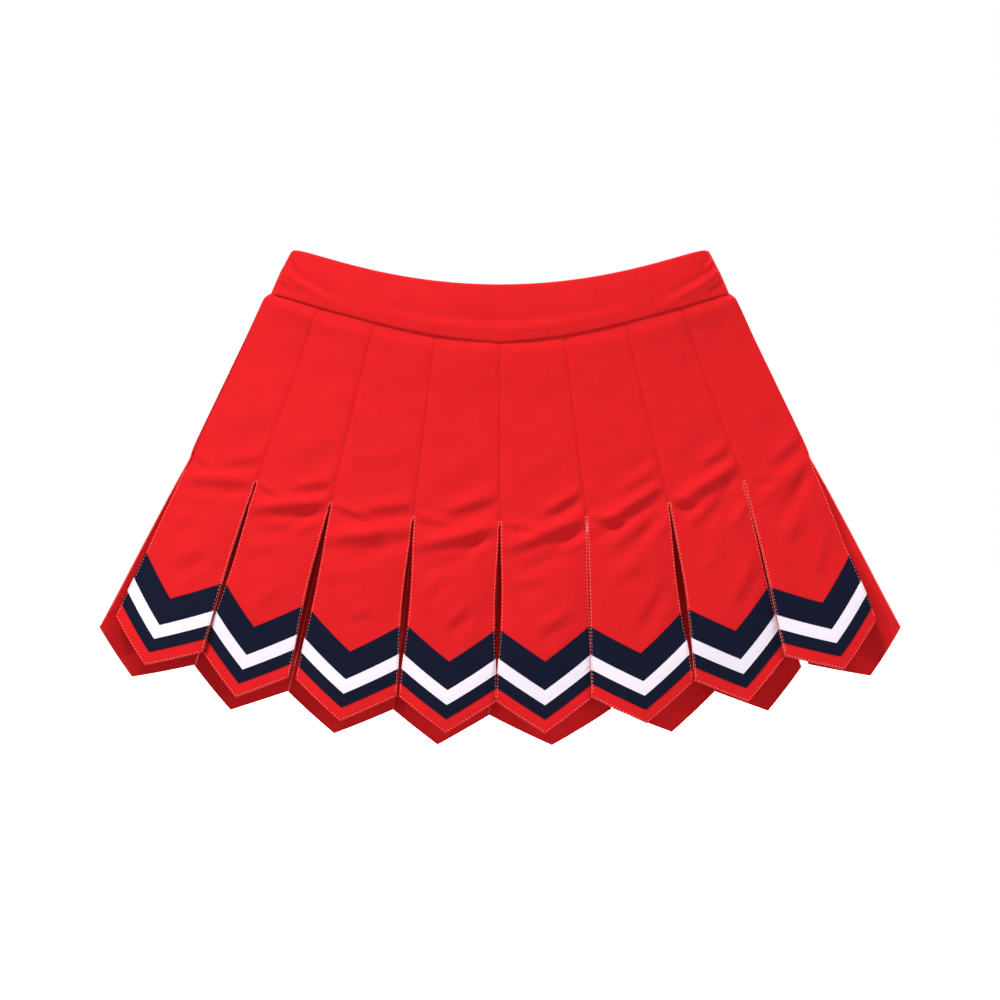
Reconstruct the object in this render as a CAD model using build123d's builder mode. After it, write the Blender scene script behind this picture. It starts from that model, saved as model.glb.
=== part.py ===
from build123d import *
from math import asin, cos, radians, sin, tan, atan
import os

# Pleated cheer skirt, hanging from its waist. Millimetres, +Z up, the front faces -Y and X runs across it.
# The origin is the middle of the waist opening, level with the lowest point of the top edge.
# Every panel lies in a flat facet of a slim, lens-shaped pyramid whose apex is above the waist, so a panel widens
# downwards just as its seams do. Distances called "run" are measured from that apex down a seam.

# the lens-shaped plan
APEX_HEIGHT = 383.0           # the apex above the origin, and the run of the top edge at the centre
HALF_SPREAD = tan(radians(25.6))  # half width of the skirt per mm below the apex
HALF_DEPTH = 0.08             # how far the front bows out per mm below the apex
PANELS = 8                    # panels to a side, front and back

# waistband
TOP_RUN_SIDE = 391.0          # run of the top edge at the sides
BAND_RUN_SIDE = 430.0         # run of the band's lower edge at the sides
BAND_RUN_QUARTER = 422.0      # run of the front band's lower edge halfway to the side
BAND_RUN_POINT = 428.5        # run of the point at the centre front
BAND_RUN_BACK = 428.0         # run of the back band's lower edge at the centre
BAND_THICKNESS = 1.4
FACING_THICKNESS = 1.2
ELASTIC_THICKNESS = 1.2
ELASTIC_RUN = (388.5, 407.5)  # upper and lower edges of the elastic at the centre
ELASTIC_RUN_SIDE = (393.0, 412.0)
SIDE_ANGLE = 25.9             # where the band's ends are trimmed at the side folds

# panels and the free flaps below them
PANEL_THICKNESS = 1.2
PANEL_TOP_RUN = 414.0         # top of a panel, tucked behind the band
RELEASE_RUN = 570.0           # where the seams end and the flaps begin
HINGE_GAP = 1.5
SEAM_GAP = 0.3
SLIT_GAP = 2.6                # between two flaps at the release
CORNER_RUN = {"front": 715.0, "back": 725.0}  # run of a flap's two lower corners
POINT_DROP = 26.3             # how far the hem's point hangs below those corners
HEM_NARROWING = 0.973         # width of the hem against that of its facet
LAYER_THICKNESS = 1.0         # a flap's face and its facing, each
SIDE_CLEARANCE = 0.25         # from the middle plane to a side panel or flap

# trim, measured square to the hem
HEM_MARGIN = 9.3
TAPE_WIDTH = 38.0
TAPE_THICKNESS = 0.5
STRIPE_MARGIN = 9.3           # tape left showing below the stripe
STRIPE_WIDTH = 9.8
STRIPE_THICKNESS = 0.4

APEX = Vector(0, 0, APEX_HEIGHT)
PLAN_RADIUS = (HALF_SPREAD**2 + HALF_DEPTH**2) / (2 * HALF_DEPTH)
PLAN_ANGLE = asin(HALF_SPREAD / PLAN_RADIUS)
LOFT_LEVELS = (45.0, -75.0)   # heights that the whole band lies between
SIDES = {"front": 0, "back": 180}


def seam_direction(i):
    """The unit vector from the apex down front seam i, 0 to 8 from -X to +X."""
    t = PLAN_ANGLE * (2 * i / PANELS - 1)
    return Vector(PLAN_RADIUS * sin(t), -PLAN_RADIUS * (cos(t) - cos(PLAN_ANGLE)), -1).normalized()


def facet(i):
    """The plane of front panel i, 1 to 8: origin at the apex, Y up its middle, Z outwards."""
    a, b = seam_direction(i - 1), seam_direction(i)
    return Plane(origin=APEX, x_dir=b - a, z_dir=(b - a).cross(-(a + b)))


def half_angle(i):
    a, b = seam_direction(i - 1), seam_direction(i)
    return radians(a.get_angle(b)) / 2


def offset_line(i, height, offset):
    """The facet plane of panel i moved outwards, cut at a height: (nx, ny, d) with nx x + ny y = d."""
    n = facet(i).z_dir
    return n.X, n.Y, offset - n.Z * (height - APEX_HEIGHT)


def ring_points(height, offset):
    """Corners of the front half of the offset pyramid at a height, from -X to +X."""
    lines = [(0, 1, 0)] + [offset_line(i, height, offset) for i in range(1, PANELS + 1)] + [(0, 1, 0)]
    points = []
    for (a, b, c), (d, e, f) in zip(lines, lines[1:]):
        det = a * e - b * d
        points.append(((c * e - b * f) / det, (a * f - c * d) / det))
    return points


def front_point(run, angle):
    """A point of the front view, at a run from the apex and an angle in degrees from straight down."""
    return (run * sin(radians(angle)), APEX_HEIGHT - run * cos(radians(angle)))


def band_half(outer, inner, top, bottom):
    """Half of a band round the waist between two offsets, trimmed to its outline in the front view.
    top is (centre run, side run); bottom is a list of (run, angle) from -X to +X, three points to an arc."""
    with BuildPart() as band:
        for height in LOFT_LEVELS:
            with BuildSketch(Plane.XY.offset(height)):
                with BuildLine():
                    Polyline(*ring_points(height, outer), *reversed(ring_points(height, inner)), close=True)
                make_face()
        loft(ruled=True)
        with BuildSketch(Plane.XZ):
            with BuildLine():
                ends = front_point(top[1], -SIDE_ANGLE), front_point(top[1], SIDE_ANGLE)
                ThreePointArc(ends[0], front_point(top[0], 0), ends[1])
                lower = [front_point(*p) for p in bottom]
                for k in range(0, len(lower) - 1, 2):
                    ThreePointArc(*lower[k : k + 3])
                Line(ends[0], lower[0])
                Line(ends[1], lower[-1])
            make_face()
        extrude(amount=200, both=True, mode=Mode.INTERSECT)
    return band.part


def outline(i, run_top, top_clear, run_bottom, bottom_half, drop):
    """Corners of a panel in its facet: straight across the top, with a point below its lower corners if drop is not 0."""
    h = half_angle(i)
    top, low = run_top * cos(h), run_bottom * cos(h)
    half_top = top * tan(h) - top_clear / 2
    point = [(0, -low - drop)] if drop else []
    return [(half_top, -top), (-half_top, -top), (-bottom_half, -low), *point, (bottom_half, -low)]


def plate(i, corners, height, thickness, cutter=None):
    """A flat piece on panel i's facet, standing up from a height above it and kept on its own side of the middle plane."""
    with BuildPart() as piece:
        with BuildSketch(facet(i).offset(height)):
            Polygon(*corners, align=None)
            if cutter:
                Polygon(*cutter, align=None, mode=Mode.INTERSECT)
        extrude(amount=thickness)
        with Locations((0, -500 - SIDE_CLEARANCE, 0)):
            Box(2000, 1000, 2000, mode=Mode.INTERSECT)
    return piece.part


def panel_top(i):
    """The sewn upper part of a panel, from behind the band to the release line."""
    h = half_angle(i)
    low = RELEASE_RUN - HINGE_GAP / 2 / cos(h)
    corners = outline(i, PANEL_TOP_RUN, SEAM_GAP, low, low * sin(h) - SEAM_GAP / 2, 0)
    return plate(i, corners, -PANEL_THICKNESS, PANEL_THICKNESS)


def hem_half(i, side):
    return CORNER_RUN[side] * sin(half_angle(i)) * HEM_NARROWING - SLIT_GAP / 2


def flap_outline(i, side):
    top = RELEASE_RUN + HINGE_GAP / 2 / cos(half_angle(i))
    return outline(i, top, SLIT_GAP, CORNER_RUN[side], hem_half(i, side), POINT_DROP)


def flap(i, side):
    """A free flap's two layers of cloth, its face and its facing."""
    corners = flap_outline(i, side)
    return [plate(i, corners, -k * LAYER_THICKNESS, LAYER_THICKNESS) for k in (1, 2)]


def trim(i, side, margin, width, height, thickness):
    """A tape folded to the hem's point, cut off flush with the flap's side edges."""
    slope = atan(POINT_DROP / hem_half(i, side))
    tip = CORNER_RUN[side] * cos(half_angle(i)) + POINT_DROP
    low = margin / cos(slope) - tip
    high = low + width / cos(slope)
    reach, rise = 100.0, 100.0 * tan(slope)
    folded = [(0, low), (reach, low + rise), (reach, high + rise), (0, high), (-reach, high + rise), (-reach, low + rise)]
    return plate(i, flap_outline(i, side), height, thickness, folded)


def placed(solids, side):
    """One piece or a list of pieces, kept as separate solids and turned to the back for a back piece."""
    pieces = solids if isinstance(solids, list) else [solids]
    turn = Rotation(0, 0, SIDES[side])
    return Compound(children=[turn * solid for piece in pieces for solid in piece.solids()])


BANDS = {
    "front": [(BAND_RUN_SIDE, -SIDE_ANGLE), (BAND_RUN_QUARTER, -12), (BAND_RUN_POINT, 0),
              (BAND_RUN_QUARTER, 12), (BAND_RUN_SIDE, SIDE_ANGLE)],
    "back": [(BAND_RUN_SIDE, -SIDE_ANGLE), (BAND_RUN_BACK, 0), (BAND_RUN_SIDE, SIDE_ANGLE)],
}
TOP = (APEX_HEIGHT, TOP_RUN_SIDE)
parts = {}
elastic = []
for side in SIDES:
    parts[f"{side}_waistband"] = placed(band_half(BAND_THICKNESS, 0, TOP, BANDS[side]), side)
    parts[f"{side}_waistband_facing"] = placed(
        band_half(-ELASTIC_THICKNESS, -ELASTIC_THICKNESS - FACING_THICKNESS, TOP, BANDS[side]), side)
    (high, low), (side_high, side_low) = ELASTIC_RUN, ELASTIC_RUN_SIDE
    lower_edge = [(side_low, -SIDE_ANGLE), (low, 0), (side_low, SIDE_ANGLE)]
    elastic.append(placed(band_half(0, -ELASTIC_THICKNESS, (high, side_high), lower_edge), side))
    parts[f"{side}_panel_tops"] = placed([panel_top(i) for i in range(1, PANELS + 1)], side)
    for i in range(1, PANELS + 1):
        parts[f"{side}_flap_{i}"] = placed(flap(i, side), side)
        parts[f"{side}_tape_{i}"] = placed(trim(i, side, HEM_MARGIN, TAPE_WIDTH, 0, TAPE_THICKNESS), side)
        parts[f"{side}_stripe_{i}"] = placed(
            trim(i, side, HEM_MARGIN + STRIPE_MARGIN, STRIPE_WIDTH, TAPE_THICKNESS, STRIPE_THICKNESS), side)
with BuildPart() as loop:
    add(elastic)
parts["waist_elastic"] = loop.part

os.makedirs("parts", exist_ok=True)
for name, part in parts.items():
    part.label = name
    export_step(part, f"parts/{name}.step")
print(len(parts), "parts")
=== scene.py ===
import math
import random

import bpy
import numpy as np
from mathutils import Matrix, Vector


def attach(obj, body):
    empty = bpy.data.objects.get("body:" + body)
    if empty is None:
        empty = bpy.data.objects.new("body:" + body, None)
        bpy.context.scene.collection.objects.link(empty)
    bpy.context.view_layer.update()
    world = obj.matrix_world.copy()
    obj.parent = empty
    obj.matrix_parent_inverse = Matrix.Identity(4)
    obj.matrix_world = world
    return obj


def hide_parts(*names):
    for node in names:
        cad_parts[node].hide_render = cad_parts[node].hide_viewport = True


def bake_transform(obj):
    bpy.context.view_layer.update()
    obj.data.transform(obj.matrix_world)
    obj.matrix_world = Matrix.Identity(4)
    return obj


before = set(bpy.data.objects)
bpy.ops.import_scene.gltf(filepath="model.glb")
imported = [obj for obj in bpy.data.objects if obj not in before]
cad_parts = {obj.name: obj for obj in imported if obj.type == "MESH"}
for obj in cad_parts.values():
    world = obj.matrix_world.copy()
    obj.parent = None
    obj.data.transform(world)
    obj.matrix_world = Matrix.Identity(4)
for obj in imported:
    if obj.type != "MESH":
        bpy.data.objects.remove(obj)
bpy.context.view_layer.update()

# A pleated cheer skirt, hung from its waist. Lengths in the tables are millimetres; meshes are stored in metres.
# A place on the skirt is (t, run): t is the angle across the lens-shaped plan, from -SPAN at one side to SPAN at the
# other, and run is the distance down from the apex that every seam points to.
MM = 0.001
APEX_HEIGHT = 383.0
HALF_SPREAD = math.tan(math.radians(25.6))
HALF_DEPTH = 0.08
PLAN_RADIUS = (HALF_SPREAD**2 + HALF_DEPTH**2) / (2 * HALF_DEPTH)
SPAN = math.asin(HALF_SPREAD / PLAN_RADIUS)
PANELS = 8
SIDES = {"front": 1.0, "back": -1.0}

# waistband
BAND_TOP, BAND_TOP_SIDE = 384.5, 8.0
BAND_WAIST = 0.9735  # the elastic holds the band in to this share of the body's width
BAND_CLOTH = 1.1
ROUNDNESS = 0.72  # below 1, the band is a rounder lens than the body
BAND_FOLD = 1.9  # half the band's whole thickness, at its folded top edge
PANEL_TUCK = 414.0  # top of the panels, tucked inside the band

# flaps
RELEASE = 570.0
CORNER = {"front": 715.0, "back": 729.0}
POINT_DROP = 26.3
SEAM_TUCK = 0.9  # each panel's edge turns in behind its seam by this much
SEWN_CLOTH, FLAP_CLOTH = 1.1, 1.9
STITCH_INSET = 1.2
STITCH_LONG, STITCH_GAP, STITCH_WIDE, STITCH_TALL = 2.3, 0.5, 0.4, 0.28
BEND_LENGTH = 24.0  # the second point of a flap's hinge line lies this far below the release

# trim, measured square to the hem
HEM_MARGIN, TAPE_WIDTH, TAPE_CLOTH = 9.3, 38.0, 0.55
STRIPE_MARGIN, STRIPE_WIDTH, STRIPE_CLOTH = 9.3, 9.8, 0.4


def smooth(low, high, x):
    s = np.clip((x - low) / (high - low), 0, 1)
    return s * s * (3 - 2 * s)


def bump(x, width):
    return np.exp(-((x / width) ** 2))


# ---------------------------------------------------------------- the skirt's surface

def panel_half_angle(i):
    """Half the angle at the apex between a panel's two seams."""
    t = SPAN * (2 * np.array([i - 1, i]) / PANELS - 1)
    x, y = PLAN_RADIUS * np.sin(t), -PLAN_RADIUS * (np.cos(t) - math.cos(SPAN))
    a, b = (np.array([x[k], y[k], -1]) / np.linalg.norm([x[k], y[k], -1]) for k in (0, 1))
    return math.acos(float(a @ b)) / 2


HALF_ANGLE = {i: panel_half_angle(i) for i in range(1, PANELS + 1)}


def cone(t, run):
    """Points of the plain lens-shaped cone and its outward normals, for the front."""
    let_out = 421 + 9 * (t / SPAN) ** 2
    band = 1 - (1 - BAND_WAIST) * (1 - smooth(let_out - 3, let_out + 5, run))
    x = PLAN_RADIUS * np.sin(t)
    y = -PLAN_RADIUS * (np.cos(t) - math.cos(SPAN))
    rounder = -HALF_DEPTH * np.clip(1 - (x / HALF_SPREAD) ** 2, 0, 1) ** ROUNDNESS
    y = y + (rounder - y) * (1 - smooth(424, 452, run)) * (np.abs(t) < SPAN)
    length = np.sqrt(x * x + y * y + 1)
    scale = run / length
    points = np.stack([x * scale * band, y * scale, APEX_HEIGHT - scale], -1)
    across = np.stack([PLAN_RADIUS * np.cos(t), PLAN_RADIUS * np.sin(t), 0 * t], -1)
    down = np.stack([x, y, -1 + 0 * t], -1)
    normal = np.cross(down, across)
    normal /= np.linalg.norm(normal, axis=-1, keepdims=True)
    return points, normal


def hem_run(side, u):
    return CORNER[side] + POINT_DROP * (1 - np.abs(u))


# The slit at each seam, from one side fold to the other: how far it leans sideways at the hem, then how wide it stands
# open at the top, in the middle and at the hem, in millimetres. Below nothing, one flap's edge lies over the next. Both
# sides are listed from left to right as seen from their own side, so the back's run from +x to -x.
SLITS = {
    "front": [(3.5, 1.0, 0.0, 0.0), (7.0, 1.2, 3.2, -1.6), (3.0, 0.8, 3.2, 6.0), (5.0, 0.7, 4.6, 1.2),
              (-3.0, 0.7, 4.6, -1.0), (-13.0, -0.2, 0.8, -1.4), (-14.0, 0.7, 4.4, 1.6), (-17.0, 0.2, 1.6, -1.6),
              (-10.0, 1.0, 0.0, 0.0)],
    "back": [(-7.0, 1.0, 0.0, 0.0), (3.0, -1.4, 2.4, 5.0), (-2.0, -0.5, -1.0, -1.2), (-3.0, 0.5, 1.6, 0.4),
             (9.0, -1.4, -1.6, -1.2), (-1.0, -0.5, -1.0, -1.2), (-1.0, -0.5, -1.0, -1.2), (-3.0, -1.4, -1.6, -1.6),
             (6.5, 1.0, 0.0, 0.0)],
}


def free_share(side, run):
    """0 at the release, 1 at the hem's corners."""
    return np.clip((run - RELEASE) / (CORNER[side] - RELEASE), 0, 1.3)


def edges(side, i, run):
    """Places of a panel's left and right edges, in millimetres across from its middle."""
    full = run * math.sin(HALF_ANGLE[i])
    free = free_share(side, run)
    loose = smooth(RELEASE - 2, RELEASE + 7, run)
    found = []
    for hand, (lean, top, middle, hem) in ((-1, SLITS[side][i - 1]), (1, SLITS[side][i])):
        gap = top * (1 - free) + hem * free + middle * np.sin(math.pi * np.clip(free, 0, 1)) ** 2
        found.append(hand * (full - gap / 2 * loose + SEAM_TUCK * (1 - loose)) + lean * free)
    return found


def half_width(side, i, run):
    left, right = edges(side, i, run)
    return (right - left) / 2


def hem_slope(side, i):
    return math.atan(POINT_DROP / float(half_width(side, i, np.array(CORNER[side]))))


# How each flap hangs: swing out at the hem, cup of its width, twist and wave, in millimetres. Where two flaps overlap,
# one hangs at least 3.5 mm further out at the hem, so that its cloth and trim clear the other there. The step grows
# from nothing at the release, and in the upper part of a closed slit the two cloths still cross.
HANG = {
    "front": [(3.6, 2.2, -0.6, 0.9), (-1.5, 2.6, 1.4, -0.8), (1.2, 3.0, -0.8, 1.0), (-0.6, 3.2, -1.4, 0.8),
              (0.8, 3.0, -1.7, -0.9), (0.6, 3.1, -2.2, 0.8), (-1.2, 2.6, -1.5, -0.8), (3.2, 2.0, -2.4, 0.9)],
    "back": [(2.0, 2.3, 1.2, 0.9), (-1.2, 3.0, -1.4, 0.8), (1.4, 2.7, -1.6, -0.9), (0.6, 3.3, 3.2, 0.8),
             (1.5, 3.1, 2.0, 0.9), (-1.0, 3.4, 1.3, -0.7), (2.2, 2.7, -3.6, 0.8), (4.0, 2.2, -1.2, -0.9)],
}


def crease(x, run, start, end, height, width):
    """A soft fold in the cloth along a line from start to end, each (millimetres across, run)."""
    along = np.array(end, float) - np.array(start, float)
    length = float(np.hypot(*along))
    along /= length
    dx, dr = x - start[0], run - start[1]
    s = (dx * along[0] + dr * along[1]) / length
    d = -dx * along[1] + dr * along[0]
    ends = np.exp(-(np.abs((s - 0.5) / 0.46) ** 3.2))
    return height * ends * (bump(d, width) - 0.8 * bump(d - 1.6 * width, 1.1 * width))


# How far down the folds of some panels sit from their neighbours', in millimetres.
SHIFT = {"front": {3: 6, 6: -14, 7: -15}, "back": {2: 5, 5: -8, 7: 6}}


def panel_creases(side, i):
    """The folds of a panel: long ones across it at the release, short ones at its slit tops, faint ones elsewhere."""
    chance = random.Random(100 * i + (7 if side == "front" else 53))
    edge = RELEASE * math.sin(HALF_ANGLE[i])
    lean = 1 if side == "front" else 0.25
    vary = chance.uniform

    def fold(x0, r0, x1, r1, tall, wide):
        return ((x0 * edge, RELEASE + r0), (x1 * edge, RELEASE + r1), tall, wide)

    at = SHIFT[side].get(i, 0)
    flat = 0.6 if i in (1, PANELS) else 1.0
    return [
        fold(-0.9, at + 6 + lean * vary(12, 22), 0.97, at + 6 - lean * vary(0, 8),
             flat * vary(3.6, 4.8), vary(5.2, 6.4)),
        fold(-0.7, at + 20 + lean * vary(10, 24), 0.5, at + 16 + lean * vary(-2, 6),
             flat * vary(1.8, 2.8), vary(5.0, 6.5)),
        fold(vary(-0.3, 0.0), at - 2 - lean * vary(0, 5), 0.95, at - 8 - lean * vary(6, 16),
             flat * vary(1.8, 2.6), vary(4.4, 5.6)),
        fold(-0.97, vary(-2, 3), vary(-0.3, 0.1), vary(3, 9), flat * vary(1.2, 2.0), vary(3.4, 4.2)),
        fold(0.95, vary(12, 20), vary(0.3, 0.5), vary(24, 38), flat * vary(1.2, 2.0), vary(4.0, 5.0)),
        fold(vary(-0.5, 0.0), vary(84, 100), vary(0.3, 0.9), vary(62, 78), vary(1.2, 1.9), vary(5.0, 6.5)),
        fold(vary(-0.9, -0.6), vary(52, 64), vary(-0.2, 0.1), vary(38, 50), vary(0.9, 1.5), vary(5.0, 7.0)),
        fold(vary(-0.2, 0.2), vary(104, 116), vary(0.6, 0.9), vary(56, 72), vary(0.5, 0.9), vary(5.5, 8.5)),
        fold(vary(-0.9, -0.2), -vary(22, 36), vary(0.3, 0.9), -vary(44, 62), vary(0.5, 0.9), vary(7.0, 10.0)),
        fold(vary(-0.6, 0.0), -vary(78, 95), vary(0.1, 0.7), -vary(112, 130), vary(0.25, 0.5), vary(8.0, 12.0)),
    ]


CREASES = {(side, i): panel_creases(side, i) for side in SIDES for i in range(1, PANELS + 1)}


def body_relief(side, t, run):
    """Slow unevenness of the whole skirt, the same for neighbouring panels so that their seams stay closed."""
    phase = 0.0 if side == "front" else 2.1
    low = smooth(430, 470, run)
    waves = 0.9 * np.sin(21 * t + phase + run / 95) + 0.6 * np.sin(47 * t + 1.3 * phase - run / 60)
    puff = 1.5 * smooth(428, 436, run) * (1 - smooth(440, 475, run))
    gathered = smooth(426, 431, run) * (1 - smooth(436, 458, run))
    gather = (0.08 if side == "front" else 0.35) * np.sin(210 * t + 2 * np.sin(33 * t + phase)) * gathered
    return waves * low * (0.6 + 0.4 * smooth(RELEASE, 720, run)) + puff + gather


def edge_distance(side, i, u, run):
    """Millimetres in from a flap's free edge; large in the sewn part."""
    sideways = (1 - np.abs(u)) * half_width(side, i, run)
    upwards = (hem_run(side, u) - run) * math.cos(hem_slope(side, i))
    free = smooth(RELEASE - 2, RELEASE + 6, run)
    return np.minimum(sideways + (1 - free) * 30, upwards)


def side_share(i, u):
    """1 at the skirt's own side edges, where front and back are sewn together, and 0 elsewhere."""
    if i == 1:
        return smooth(0.2, 0.6, -u)
    return smooth(0.2, 0.6, u) if i == PANELS else 0.0 * u


def surface(side, i, u, run, lift=0.0):
    """Points of a panel's outer face in millimetres, and its outward normals. u runs from -1 to 1 across the panel."""
    u, run = np.broadcast_arrays(np.asarray(u, float), np.asarray(run, float))
    left, right = edges(side, i, run)
    half = (right - left) / 2
    x = (left + right) / 2 + u * half
    middle = SPAN * ((2 * i - 1) / PANELS - 1)
    t = middle + x / (run * math.sin(HALF_ANGLE[i])) * SPAN / PANELS
    points, normal = cone(t, run)
    free = free_share(side, run)
    swing, cup, twist, wave = HANG[side][i - 1]
    hang = smooth(0, 1.0, free)
    height = body_relief(side, t, run)
    height = height + swing * free * free + twist * u * hang
    height = height + cup * (1 - u * u) * smooth(0, 0.45, free) * (1 - 0.35 * hang) - 0.4 * cup * hang
    height = height + wave * np.sin(2.4 * math.pi * free + 1.4 * u) * hang
    sewn = 1 - smooth(RELEASE - 1, RELEASE + 8, run)
    at_side = side_share(i, u)
    seam = np.abs((1 - np.abs(u)) * half - SEAM_TUCK * sewn)
    behind = smooth(SEAM_TUCK, 0, (1 - np.abs(u)) * half)
    groove = 1.1 * np.exp(-seam / 1.5) + 0.3 * np.exp(-seam / 5) + 0.9 * behind
    height = height - groove * sewn * (1 - 0.9 * at_side) * smooth(423, 434, run)
    height = height - 0.6 * at_side * sewn * np.exp(-((1 - np.abs(u)) * half) / 0.4)
    height = height + 1.7 * at_side * np.exp(-seam / 9.0) * smooth(RELEASE, RELEASE + 40, run)
    seam_ripple = 0.10 * np.sin(run / 1.9 + 3 * np.sin(run / 17))
    height = height + seam_ripple * bump(seam - 3.0, 2.2) * sewn * smooth(432, 445, run)
    slit_top = np.hypot(seam / 6.0, (run - RELEASE - 1) / 8.0)
    height = height - 0.9 * np.exp(-slit_top**2)
    fade = np.minimum(1, seam / 5 + (1 - sewn))
    for start, end, tall, wide in CREASES[side, i]:
        height = height + crease(x, run, start, end, tall, wide) * fade
    inward = edge_distance(side, i, u, run)
    loose = smooth(RELEASE - 2, RELEASE + 6, run)
    pucker = 0.11 * np.sin(2 * math.pi * (run + 0.6 * x) / 5.6)
    sunk = 0.28 * bump(inward - STITCH_INSET, 0.55)
    height = height + loose * (pucker * bump(inward - 3.6, 1.8) - sunk - 0.3 * np.exp(-inward / 0.5))
    return points + normal * (height + lift)[..., None], normal


def turned(points, side):
    """Millimetres on the front to metres on the side asked for."""
    return points * np.array([SIDES[side], SIDES[side], 1.0]) * MM


# ---------------------------------------------------------------- building meshes

def make_mesh(name, points, faces, uvs, material, rim=None, rim_faces=()):
    mesh = bpy.data.meshes.new(name)
    mesh.from_pydata([tuple(p) for p in points], [], faces)
    layer = mesh.uv_layers.new(name="UVMap")
    corner = np.empty(len(mesh.loops), dtype=np.int32)
    mesh.loops.foreach_get("vertex_index", corner)
    layer.data.foreach_set("uv", np.asarray(uvs, np.float32)[corner].reshape(-1))
    mesh.polygons.foreach_set("use_smooth", np.ones(len(mesh.polygons), bool))
    mesh.materials.append(material)
    if rim:
        mesh.materials.append(rim)
        for k in rim_faces:
            mesh.polygons[k].material_index = 1
    mesh.update()
    mesh.validate()
    obj = bpy.data.objects.new(name, mesh)
    bpy.context.scene.collection.objects.link(obj)
    return obj


EDGE_ROUNDING = 0.4  # of the cloth's thickness


def cloth_shell(name, outer, normal, thickness, uv, material, side, rim_material=None, first_free_row=0):
    """A closed sheet of cloth with rounded edges. outer and normal are grids (rows, columns, 3), in millimetres."""
    rows, columns = outer.shape[:2]
    thickness = np.broadcast_to(thickness, (rows, columns))
    inner = outer - normal * thickness[..., None]
    middle = (outer + inner) / 2

    def pulled_in(grid, amount):
        """The grid with its border moved in from the edge by a share of the thickness."""
        g = grid.copy()
        for row, inside in ((0, 1), (rows - 1, rows - 2)):
            step = grid[inside] - grid[row]
            length = np.linalg.norm(step, axis=-1, keepdims=True)
            g[row] += step / np.maximum(length, 1e-6) * np.minimum(amount, 0.45 * length)
        for column, inside in ((0, 1), (columns - 1, columns - 2)):
            step = grid[:, inside] - grid[:, column]
            length = np.linalg.norm(step, axis=-1, keepdims=True)
            g[:, column] += step / np.maximum(length, 1e-6) * np.minimum(amount, 0.45 * length)
        return g

    amount = float(thickness.mean()) * EDGE_ROUNDING
    outer, inner = pulled_in(outer, amount), pulled_in(inner, amount)
    index = np.arange(rows * columns).reshape(rows, columns)
    count = rows * columns
    faces = []
    a, b, c, d = index[:-1, :-1], index[1:, :-1], index[1:, 1:], index[:-1, 1:]
    quads = np.stack([a, b, c, d], -1).reshape(-1, 4)
    faces += quads.tolist()
    faces += (quads[:, ::-1] + count).tolist()
    border = list(index[0, :-1]) + list(index[:-1, -1]) + list(index[-1, :0:-1]) + list(index[:0:-1, 0])
    rim, rim_faces = {v: 2 * count + k for k, v in enumerate(border)}, []
    for k, v in enumerate(border):
        w = border[(k + 1) % len(border)]
        # rim faces from first_free_row down take rim_material; on the panels that is a painted highlight along the free
        # edges
        if min(v, w) // columns >= first_free_row:
            rim_faces += [len(faces), len(faces) + 1]
        faces.append([v, w, rim[w], rim[v]])
        faces.append([rim[v], rim[w], w + count, v + count])
    flat_middle, flat_uv = middle.reshape(-1, 3), uv.reshape(-1, 2)
    points = np.concatenate([outer.reshape(-1, 3), inner.reshape(-1, 3), flat_middle[border]])
    uvs = np.concatenate([flat_uv, flat_uv, flat_uv[border]])
    return make_mesh(name, turned(points, side), faces, uvs, material, rim_material, rim_faces)


# Rows and columns near an edge, in millimetres in from it.
FINE = [0, 0.5, 1.0, 1.5, 1.9, 2.3, 2.7, 3.2, 4.0, 5.0]


def across_places(half):
    """Places across a panel as u, close together at the edges where the stitching is."""
    inward = FINE + list(np.arange(6.6, half - 0.9, 1.75)) + [half]
    left = [-1 + d / half for d in inward]
    return np.array(left + [-x for x in left[-2::-1]])


# ---------------------------------------------------------------- materials

RIB_BUMP = 0.35
CLOTH_SPECULAR = 0.04


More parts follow.
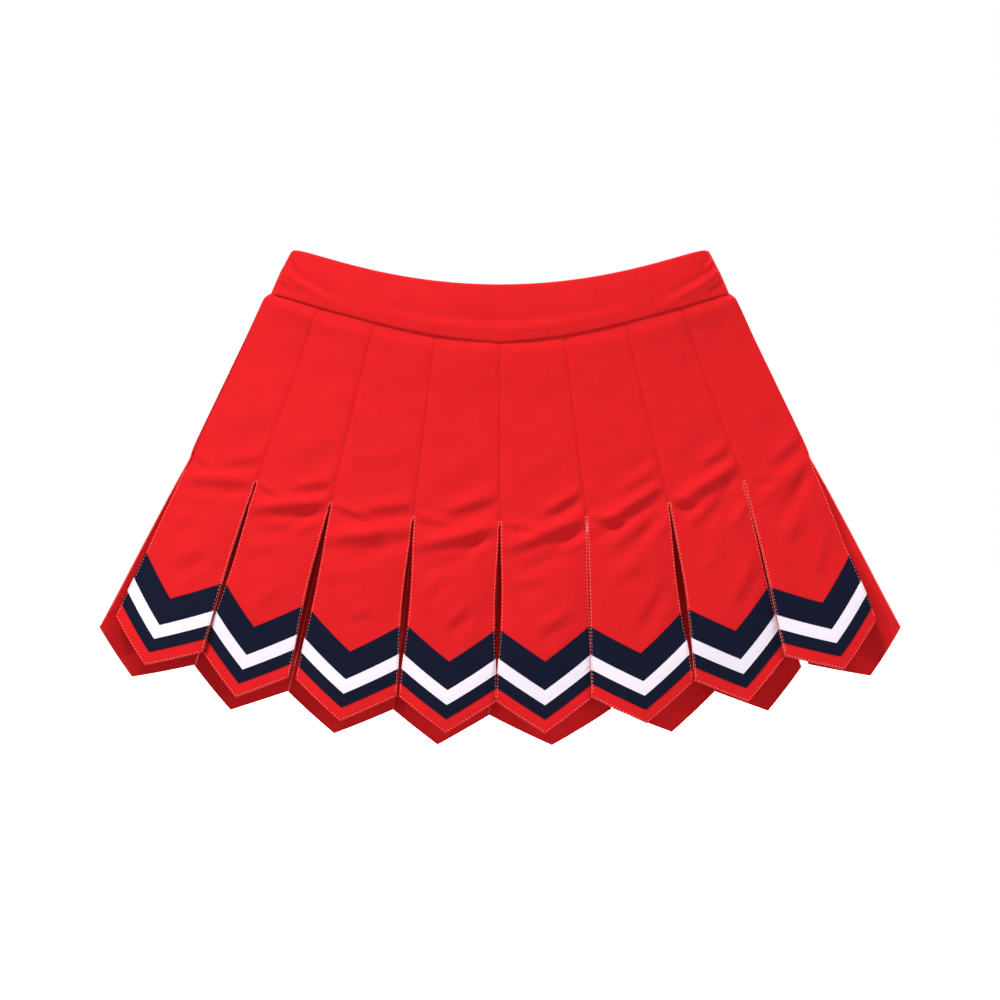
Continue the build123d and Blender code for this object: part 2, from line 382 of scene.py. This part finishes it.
def fabric(name, colour, roughness, sheen, sheen_tint, rib, rib_across, groove_shade_depth, mottle):
    """A knitted cloth: fine ribs, their grooves darkened in the colour as painted shade, a looser cross texture, slight
    mottling and a soft sheen.

    rib is in ribs per millimetre, groove_shade_depth the share by which the grooves between the ribs are darkened as
    painted shade, and mottle the share by which the colour goes lighter and darker in patches.
    """
    m = bpy.data.materials.new(name)
    m.use_nodes = True
    nodes, links = m.node_tree.nodes, m.node_tree.links
    shader = nodes["Principled BSDF"]
    shader.inputs["Roughness"].default_value = roughness
    shader.inputs["Sheen Weight"].default_value = sheen
    shader.inputs["Sheen Roughness"].default_value = 0.45
    shader.inputs["Sheen Tint"].default_value = (*sheen_tint, 1)
    shader.inputs["Specular IOR Level"].default_value = CLOTH_SPECULAR
    uv = nodes.new("ShaderNodeUVMap")
    uv.uv_map = "UVMap"
    wales = nodes.new("ShaderNodeTexWave")
    wales.bands_direction = "Y" if rib_across else "X"
    wales.inputs["Scale"].default_value = rib
    wales.inputs["Distortion"].default_value = 0.6
    wales.inputs["Detail"].default_value = 1.0
    wales.inputs["Detail Scale"].default_value = 2.0
    links.new(uv.outputs["UV"], wales.inputs["Vector"])
    courses = nodes.new("ShaderNodeTexWave")
    courses.bands_direction = "X" if rib_across else "Y"
    courses.inputs["Scale"].default_value = rib * 0.8
    courses.inputs["Distortion"].default_value = 1.5
    links.new(uv.outputs["UV"], courses.inputs["Vector"])
    weave = nodes.new("ShaderNodeMath")
    weave.operation = "MULTIPLY_ADD"
    weave.inputs[1].default_value = 0.45
    links.new(courses.outputs["Fac"], weave.inputs[0])
    links.new(wales.outputs["Fac"], weave.inputs[2])
    patch = nodes.new("ShaderNodeTexNoise")
    patch.inputs["Scale"].default_value = 0.05
    patch.inputs["Detail"].default_value = 3.0
    links.new(uv.outputs["UV"], patch.inputs["Vector"])
    ramp = nodes.new("ShaderNodeValToRGB")
    ramp.color_ramp.elements[0].position = 0.3
    ramp.color_ramp.elements[1].position = 0.7
    ramp.color_ramp.elements[0].color = (*[c * (1 - mottle) for c in colour], 1)
    ramp.color_ramp.elements[1].color = (*[min(1, c * (1 + mottle)) for c in colour], 1)
    links.new(patch.outputs["Fac"], ramp.inputs["Fac"])
    # the base colour darkened where the rib bump sinks between the wales: painted shade in the grooves
    groove_shade = nodes.new("ShaderNodeValToRGB")
    groove_shade.color_ramp.elements[0].color = (1 - groove_shade_depth, 1 - groove_shade_depth, 1 - groove_shade_depth, 1)
    groove_shade.color_ramp.elements[1].color = (1, 1, 1, 1)
    links.new(wales.outputs["Fac"], groove_shade.inputs["Fac"])
    blend = nodes.new("ShaderNodeMix")
    blend.data_type = "RGBA"
    blend.blend_type = "MULTIPLY"
    blend.inputs["Factor"].default_value = 1.0
    links.new(ramp.outputs["Color"], blend.inputs["A"])
    links.new(groove_shade.outputs["Color"], blend.inputs["B"])
    links.new(blend.outputs["Result"], shader.inputs["Base Color"])
    relief = nodes.new("ShaderNodeBump")
    relief.inputs["Strength"].default_value = RIB_BUMP
    relief.inputs["Distance"].default_value = 0.00012
    links.new(weave.outputs["Value"], relief.inputs["Height"])
    soft = nodes.new("ShaderNodeTexNoise")
    soft.inputs["Scale"].default_value = 0.12
    soft.inputs["Detail"].default_value = 4.0
    soft.inputs["Roughness"].default_value = 0.55
    links.new(uv.outputs["UV"], soft.inputs["Vector"])
    uneven = nodes.new("ShaderNodeBump")
    uneven.inputs["Strength"].default_value = 0.5
    uneven.inputs["Distance"].default_value = 0.0012
    links.new(soft.outputs["Fac"], uneven.inputs["Height"])
    links.new(relief.outputs["Normal"], uneven.inputs["Normal"])
    links.new(uneven.outputs["Normal"], shader.inputs["Normal"])
    return m


RED = (0.54, 0.0095, 0.0120)
RED_KNIT = fabric("red_double_knit", RED, 0.75, 0.02, (1.0, 0.15, 0.13), 0.55, False, 0.10, 0.035)
# lighter coral for the flaps' free rim faces: a painted highlight, the cloth's edge drawn as if catching light
EDGE_HIGHLIGHT = fabric("red_edge_painted_highlight", (0.70, 0.13, 0.11), 0.55, 0.3, (1.0, 0.6, 0.55), 0.5, False, 0.0, 0.0)
# the topstitching thread, red in itself, lightened to coral so the stitched lines read as a lit edge: partly painted
# highlight
THREAD_AND_EDGE_HIGHLIGHT = fabric("red_thread_painted_highlight", (0.80, 0.20, 0.17), 0.6, 0.2, (1.0, 0.4, 0.4), 0.5, False, 0.0, 0.0)
NAVY_TAPE = fabric("navy_ribbed_tape", (0.0045, 0.0062, 0.018), 0.75, 0.05, (0.35, 0.42, 0.75), 0.42, True, 0.28, 0.06)
WHITE_TAPE = fabric("white_ribbed_tape", (0.68, 0.62, 0.69), 0.6, 0.15, (1.0, 1.0, 1.0), 0.42, True, 0.07, 0.01)


# ---------------------------------------------------------------- panels

FREE_ROWS = 42  # rows of a panel's mesh from the release to its trim


def build_panel(side, i):
    u = across_places(RELEASE * math.sin(HALF_ANGLE[i]))
    upper = np.concatenate([
        np.arange(PANEL_TUCK, 440, 2.0),
        np.arange(440, RELEASE - 12, 3.0),
        np.arange(RELEASE - 12, RELEASE, 1.5),
    ])
    trim_top = (HEM_MARGIN + TAPE_WIDTH) / math.cos(hem_slope(side, i)) + 6
    fine = np.array(FINE) / math.cos(hem_slope(side, i))
    near_hem = np.concatenate([np.arange(trim_top, fine[-1] + 1.2, -1.9), fine[::-1]])
    hem = hem_run(side, u)
    rows = [np.full_like(u, r) for r in upper]
    for k in range(FREE_ROWS):
        rows.append(RELEASE + (hem - trim_top - RELEASE) * k / FREE_ROWS)
    rows += [hem - c for c in near_hem]
    run = np.stack(rows)
    across = np.broadcast_to(u, run.shape)
    points, normal = surface(side, i, across, run)
    # the true normal of the folded surface, for an even thickness of cloth
    du = np.gradient(points, axis=1)
    dr = np.gradient(points, axis=0)
    true = np.cross(dr, du)
    true /= np.maximum(np.linalg.norm(true, axis=-1, keepdims=True), 1e-9)
    true *= np.sign(np.sum(true * normal, axis=-1, keepdims=True))
    normal = true * 0.8 + normal * 0.2
    normal /= np.linalg.norm(normal, axis=-1, keepdims=True)
    thickness = SEWN_CLOTH + (FLAP_CLOTH - SEWN_CLOTH) * smooth(RELEASE - 3, RELEASE + 12, run)
    # thinner where front and back close together at the side seam
    room = 0.15 + 0.3 * (1 - np.abs(across)) * half_width(side, i, run)
    closed = side_share(i, across) * (1 - smooth(RELEASE - 6, RELEASE + 6, run))
    thickness = thickness + (np.minimum(thickness, room) - thickness) * closed
    uv = np.stack([across * half_width(side, i, run), run], -1)
    # the free rim faces of the flap take the lighter coral: a painted highlight along its edges
    return cloth_shell(f"{side}_panel_{i}", points, normal, thickness, uv, RED_KNIT, side, EDGE_HIGHLIGHT, len(upper) + 1)


def tape_piece(side, i, name, margin, width, lift, cloth, material):
    slope = hem_slope(side, i)
    low = margin / math.cos(slope)
    high = low + width / math.cos(slope)
    u = across_places(RELEASE * math.sin(HALF_ANGLE[i])) * (1 - 0.25 / 40)
    edge = [0, 0.35, 0.8, 1.4]
    inner = list(np.linspace(2.2, (high - low) - 2.2, max(3, int((high - low) / 1.9))))
    places = edge + inner + [(high - low) - e for e in edge[::-1]]
    c = high - np.array(places)
    run = hem_run(side, u)[None, :] - c[:, None]
    across = np.broadcast_to(u, run.shape)
    rim = np.minimum(np.array(places), (high - low) - np.array(places))[:, None]
    # sewn down just inside its edges, with the cloth folded at the middle
    sewn = -0.12 * bump(rim - 1.6, 0.5) + 0.05 * smooth(1.8, 5, rim)
    folded = -0.16 * bump(across * 40, 0.7) + 0.1 * bump(np.abs(across * 40) - 1.6, 1.0)
    shape = sewn + folded
    points, normal = surface(side, i, across, run, lift)
    points = points + normal * shape[..., None]
    along = across * half_width(side, i, run) / math.cos(slope)
    uv = np.stack([along, np.broadcast_to(c[:, None] * math.cos(slope), run.shape)], -1)
    return cloth_shell(name, points, normal, cloth + 0.1, uv, material, side)


def stitch_rows(side, i):
    """The places (u, run, height above the cloth) of the top stitching round a flap's free edges."""
    slope = hem_slope(side, i)
    low = HEM_MARGIN / math.cos(slope)
    high = low + TAPE_WIDTH / math.cos(slope)
    stripe_low = (HEM_MARGIN + STRIPE_MARGIN) / math.cos(slope)
    stripe_high = stripe_low + STRIPE_WIDTH / math.cos(slope)
    rows = []
    for hand in (-1, 1):
        r = np.arange(RELEASE + 1.0, CORNER[side] + 2, 0.4)
        u = hand * (1 - STITCH_INSET / half_width(side, i, r))
        keep = (hem_run(side, u) - r) * math.cos(slope) > STITCH_INSET
        rows.append((u[keep], r[keep]))
    u = np.linspace(-1, 1, 260)
    r = hem_run(side, u) - STITCH_INSET / math.cos(slope)
    keep = (1 - np.abs(u)) * half_width(side, i, r) > STITCH_INSET
    rows.append((u[keep], r[keep]))
    out = []
    for u, r in rows:
        c = hem_run(side, u) - r
        height = TAPE_CLOTH * ((c > low) & (c < high)) + STRIPE_CLOTH * ((c > stripe_low) & (c < stripe_high))
        out.append((u, r, height))
    return out


def thread_mesh(name, side, rows, material):
    """Short rounded stitches along each row of (points, normals), in millimetres."""
    points_all, faces, count = [], [], 0
    for points, normals in rows:
        steps = np.concatenate([[0], np.cumsum(np.linalg.norm(np.diff(points, axis=0), axis=1))])
        starts = np.arange(0.3, steps[-1] - STITCH_LONG, STITCH_LONG + STITCH_GAP)
        for s in starts:
            at = np.linspace(s, s + STITCH_LONG, 4)
            line = np.stack([np.interp(at, steps, points[:, k]) for k in range(3)], -1)
            up = np.stack([np.interp(at, steps, normals[:, k]) for k in range(3)], -1)
            direction = line[-1] - line[0]
            direction /= np.linalg.norm(direction)
            aside = np.cross(direction, up)
            aside /= np.linalg.norm(aside, axis=-1, keepdims=True)
            # a stitch dives into the cloth at both ends
            lift = np.array([-0.22, 0.12, 0.12, -0.22])
            fat = np.array([0.35, 1.0, 1.0, 0.35])
            for k in range(4):
                for angle in (0, 60, 120, 180, 240, 300):
                    a = math.radians(angle)
                    rise = up[k] * (lift[k] + STITCH_TALL / 2 * fat[k] * math.sin(a))
                    reach = aside[k] * STITCH_WIDE / 2 * fat[k] * math.cos(a)
                    points_all.append(line[k] + rise + reach)
            for k in range(3):
                for j in range(6):
                    a, b = count + 6 * k + j, count + 6 * k + (j + 1) % 6
                    faces.append([a, b, b + 6, a + 6])
            faces.append([count + j for j in range(5, -1, -1)])
            faces.append([count + 18 + j for j in range(6)])
            count += 24
    points_all = np.array(points_all)
    return make_mesh(name, turned(points_all, side), faces, points_all[:, [0, 2]], material)


for side in SIDES:
    for i in range(1, PANELS + 1):
        body = f"{side}_pleat_{i}"
        panel = build_panel(side, i)
        middle = SPAN * ((2 * i - 1) / PANELS - 1)
        hinge_runs = RELEASE * math.cos(HALF_ANGLE[i]) + np.array([0.0, BEND_LENGTH])
        hinge, _ = cone(np.array([middle] * 2), hinge_runs)
        start, end = (tuple(p) for p in turned(hinge, side))
        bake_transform(panel)
        tape = tape_piece(side, i, f"{side}_navy_tape_{i}",
                          HEM_MARGIN, TAPE_WIDTH, TAPE_CLOTH, TAPE_CLOTH, NAVY_TAPE)
        stripe = tape_piece(side, i, f"{side}_white_stripe_{i}",
                            HEM_MARGIN + STRIPE_MARGIN, STRIPE_WIDTH, TAPE_CLOTH + STRIPE_CLOTH, STRIPE_CLOTH,
                            WHITE_TAPE)
        rows = []
        for u, r, height in stitch_rows(side, i):
            points, normal = surface(side, i, u, r, 0.0)
            rows.append((points + normal * height[:, None], normal))
        # the stitches take the thread colour lightened to coral, a painted highlight along the free edges
        stitches = thread_mesh(f"{side}_stitching_{i}", side, rows, THREAD_AND_EDGE_HIGHLIGHT)
        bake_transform(stitches)
        for piece, node, slot in ((tape, "tape", "navy_tape"), (stripe, "stripe", "white_tape")):
            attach(piece, body)
            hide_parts(f"{side}_{node}_{i}")
        nodes = [f"{side}_flap_{i}"] + ([f"{side}_panel_tops"] if i == 1 else [])
        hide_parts(*nodes)


# ---------------------------------------------------------------- waistband

def band_bottom(side, t):
    q = np.abs(t) / SPAN
    if side == "front":
        return 423.2 + 7.8 * q**2.2 + 6.2 * np.clip(1 - q / 0.42, 0, 1) ** 1.15
    return 428.5 + 2.0 * q**2


def band_path(t, run):
    """Points of the middle of the band's thickness, a rounder lens than the body, for the front."""
    reach = HALF_SPREAD * BAND_WAIST
    q = t / SPAN
    x = reach * np.sin(q * math.pi / 2)
    y = -HALF_DEPTH * np.clip(1 - (x / reach) ** 2, 0, 1) ** ROUNDNESS
    scale = run / np.sqrt(x * x + y * y + 1)
    return np.stack([x * scale, y * scale, APEX_HEIGHT - scale], -1)


# Soft creases pulled towards the band's ends: height, width, then start and end, each (millimetres across, millimetres
# up from the bottom edge).
BAND_CREASES = {
    "front": [(1.5, 3.4, (-162, 27), (-84, 9)), (-1.0, 3.0, (-160, 14), (-120, 6)), (1.0, 2.6, (-158, 36), (-128, 22)),
              (1.5, 3.4, (84, 8), (162, 26)), (-1.0, 3.0, (118, 4), (160, 14)), (1.0, 2.6, (124, 24), (158, 37)),
              (0.8, 4.0, (-60, 10), (60, 11))],
    "back": [(1.2, 3.2, (-160, 22), (-92, 10)), (1.0, 2.8, (-156, 34), (-120, 24)), (1.3, 3.2, (88, 9), (160, 24)),
             (-0.9, 3.0, (110, 6), (158, 12)), (0.9, 2.4, (-24, 34), (2, 26)), (0.8, 2.4, (14, 35), (40, 29)),
             (0.6, 3.0, (-60, 20), (-10, 12))],
}


def build_band(side):
    """One folded cloth: the outer face, over the rolled top edge, and down the facing inside."""
    count = 181
    q = np.linspace(-1, 1, count)
    t = SPAN * q
    top = BAND_TOP + BAND_TOP_SIDE * q * q
    bottom = band_bottom(side, t)
    outer_rows = 26
    fold_rows = 7
    sections = []
    for k in range(outer_rows):
        share = k / (outer_rows - 1)
        sections.append((bottom + (top - bottom) * share, np.full(count, BAND_FOLD), share))
    for k in range(1, fold_rows + 1):
        a = math.pi * k / (fold_rows + 1)
        sections.append((top - BAND_FOLD * math.sin(a), np.full(count, BAND_FOLD * math.cos(a)), 1.0))
    for k in range(outer_rows):
        share = 1 - k / (outer_rows - 1)
        sections.append((bottom - 2 + (top - bottom + 2) * share, np.full(count, -BAND_FOLD), share))
    run = np.stack([s[0] for s in sections])
    out = np.stack([s[1] for s in sections])
    share = np.array([s[2] for s in sections])[:, None]
    across = np.broadcast_to(t, run.shape)
    base = band_path(across, run)
    step = 1e-4
    along = band_path(across + step, run) - band_path(across - step, run)
    down = band_path(across, run + 0.5) - band_path(across, run - 0.5)
    normal = np.cross(down, along)
    normal /= np.maximum(np.linalg.norm(normal, axis=-1, keepdims=True), 1e-9)
    phase = 0.4 if side == "front" else 1.9
    qq = across / SPAN
    sides = smooth(0.62, 0.92, np.abs(qq))
    ripple = 0.38 * np.sin(95 * across + 3.0 * np.sin(17 * across + phase) + share * 1.4) * sides
    if side == "back":
        gathers = 0.42 * np.sin(150 * across + 2.5 * np.sin(41 * across))
        ripple = ripple + gathers * bump(qq, 0.42) * smooth(0.25, 0.95, share)
    crown = 0.75 * np.sin(math.pi * np.clip(share, 0, 1)) ** 0.8
    dimple = -1.3 * bump(qq + 0.02, 0.05) * bump(share - 0.3, 0.4) if side == "front" else 0
    for tall, wide, start, end in BAND_CREASES[side]:
        ripple = ripple + crease(qq * 165, share * 44 + 0 * qq, start, end, tall, wide)
    outside = smooth(0, BAND_FOLD, out)
    height = out + (ripple + crown + dimple) * outside - 0.5 * np.exp(-share * 42 / 1.2) * outside
    points = base + normal * height[..., None]
    points[:, (0, -1), 1] += 1.0  # the halves close against each other at the side seams
    du = np.gradient(points, axis=1)
    dr = np.gradient(points, axis=0)
    cloth_normal = np.cross(du, dr)
    cloth_normal /= np.maximum(np.linalg.norm(cloth_normal, axis=-1, keepdims=True), 1e-9)
    if float(np.sum(cloth_normal[5] * normal[5])) < 0:
        cloth_normal = -cloth_normal
    steps = np.concatenate([np.zeros((1, count)), np.linalg.norm(np.diff(points, axis=0), axis=-1)])
    uv = np.stack([across * PLAN_RADIUS * 400, np.cumsum(steps, 0)], -1)
    name = f"{side}_waistband_cloth"
    return cloth_shell(name, points[::-1], cloth_normal[::-1], BAND_CLOTH, uv[::-1], RED_KNIT, side)


for side in SIDES:
    band = build_band(side)
    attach(band, "skirt_body")
    stood_for = [f"{side}_waistband", f"{side}_waistband_facing"] + (["waist_elastic"] if side == "back" else [])
    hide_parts(*stood_for)

# ---------------------------------------------------------------- floor, light and camera

FLOOR_HEIGHT, FLOOR_SIZE = -0.43, 40
KEY_POWER, FILL_POWER, ABOVE_POWER = 292, 44, 5  # watts
bpy.ops.mesh.primitive_plane_add(size=FLOOR_SIZE, location=(0, 0, FLOOR_HEIGHT))
floor = bpy.context.object
floor.name = "floor"
paint = bpy.data.materials.new("pale_floor")
paint.use_nodes = True
for socket, value in (("Base Color", (0.8, 0.8, 0.8, 1)), ("Roughness", 0.9), ("Specular IOR Level", 0.1),
                      ("Emission Color", (1, 1, 1, 1)), ("Emission Strength", 1.0)):
    paint.node_tree.nodes["Principled BSDF"].inputs[socket].default_value = value
floor.data.materials.append(paint)
floor.visible_diffuse = False  # the studio below, set in the world, lights the cloth from beneath

world = bpy.data.worlds.new("studio")
world.use_nodes = True
sky = world.node_tree
direction = sky.nodes.new("ShaderNodeTexCoord")
parts = sky.nodes.new("ShaderNodeSeparateXYZ")
# white round the horizon, which the cameras see, and darker above and below it
shades = [("above", 0.10, 0.24, 1.0, 0.26), ("below", -0.24, -0.10, 0.70, 1.0)]
tones = []
for name, start, end, first, last in shades:
    level = sky.nodes.new("ShaderNodeMapRange")
    level.name = name
    level.interpolation_type = "SMOOTHSTEP"
    for socket, value in (("From Min", start), ("From Max", end), ("To Min", first), ("To Max", last)):
        level.inputs[socket].default_value = value
    sky.links.new(parts.outputs["Z"], level.inputs["Value"])
    tones.append(level)
tone = sky.nodes.new("ShaderNodeMath")
tone.operation = "MULTIPLY"
sky.links.new(direction.outputs["Generated"], parts.inputs["Vector"])
for k in (0, 1):
    sky.links.new(tones[k].outputs["Result"], tone.inputs[k])
sky.links.new(tone.outputs["Value"], sky.nodes["Background"].inputs["Color"])
sky.nodes["Background"].inputs["Strength"].default_value = 1.0
bpy.context.scene.world = world
bpy.context.scene.view_settings.view_transform = "Standard"


def softbox(name, place, target, size, power):
    light = bpy.data.lights.new(name, "AREA")
    light.shape = "DISK"
    light.size = size
    light.energy = power
    lamp = bpy.data.objects.new(name, light)
    lamp.location = place
    lamp.rotation_mode = "QUATERNION"
    lamp.rotation_quaternion = (Vector(target) - Vector(place)).to_track_quat("-Z", "Y")
    bpy.context.scene.collection.objects.link(lamp)


MIDDLE = (0.0, 0.0, -0.17)
softbox("above", (0.0, 0.0, 2.3), MIDDLE, 1.2, ABOVE_POWER)
for facing, hand in ((-1, "front"), (1, "back")):
    softbox(f"{hand}_key", (1.2 * facing, 2.25 * facing, 3.9), MIDDLE, 1.0, KEY_POWER)
    for across in (-1, 1):
        place = (3.3 * across, 2.4 * facing, MIDDLE[2] - 0.02)
        softbox(f"{hand}_fill_{across + 2}", place, MIDDLE, 0.4, FILL_POWER)

camera = bpy.data.objects.new("camera", bpy.data.cameras.new("camera"))
camera.data.sensor_width = 36
camera.data.lens = 240
FRAME_WIDTH = 0.80
distance = FRAME_WIDTH / 2 / (camera.data.sensor_width / 2 / camera.data.lens)
camera.location = (0, -distance, MIDDLE[2])
camera.rotation_euler = (math.pi / 2, 0, 0)
bpy.context.scene.collection.objects.link(camera)
bpy.context.scene.camera = camera
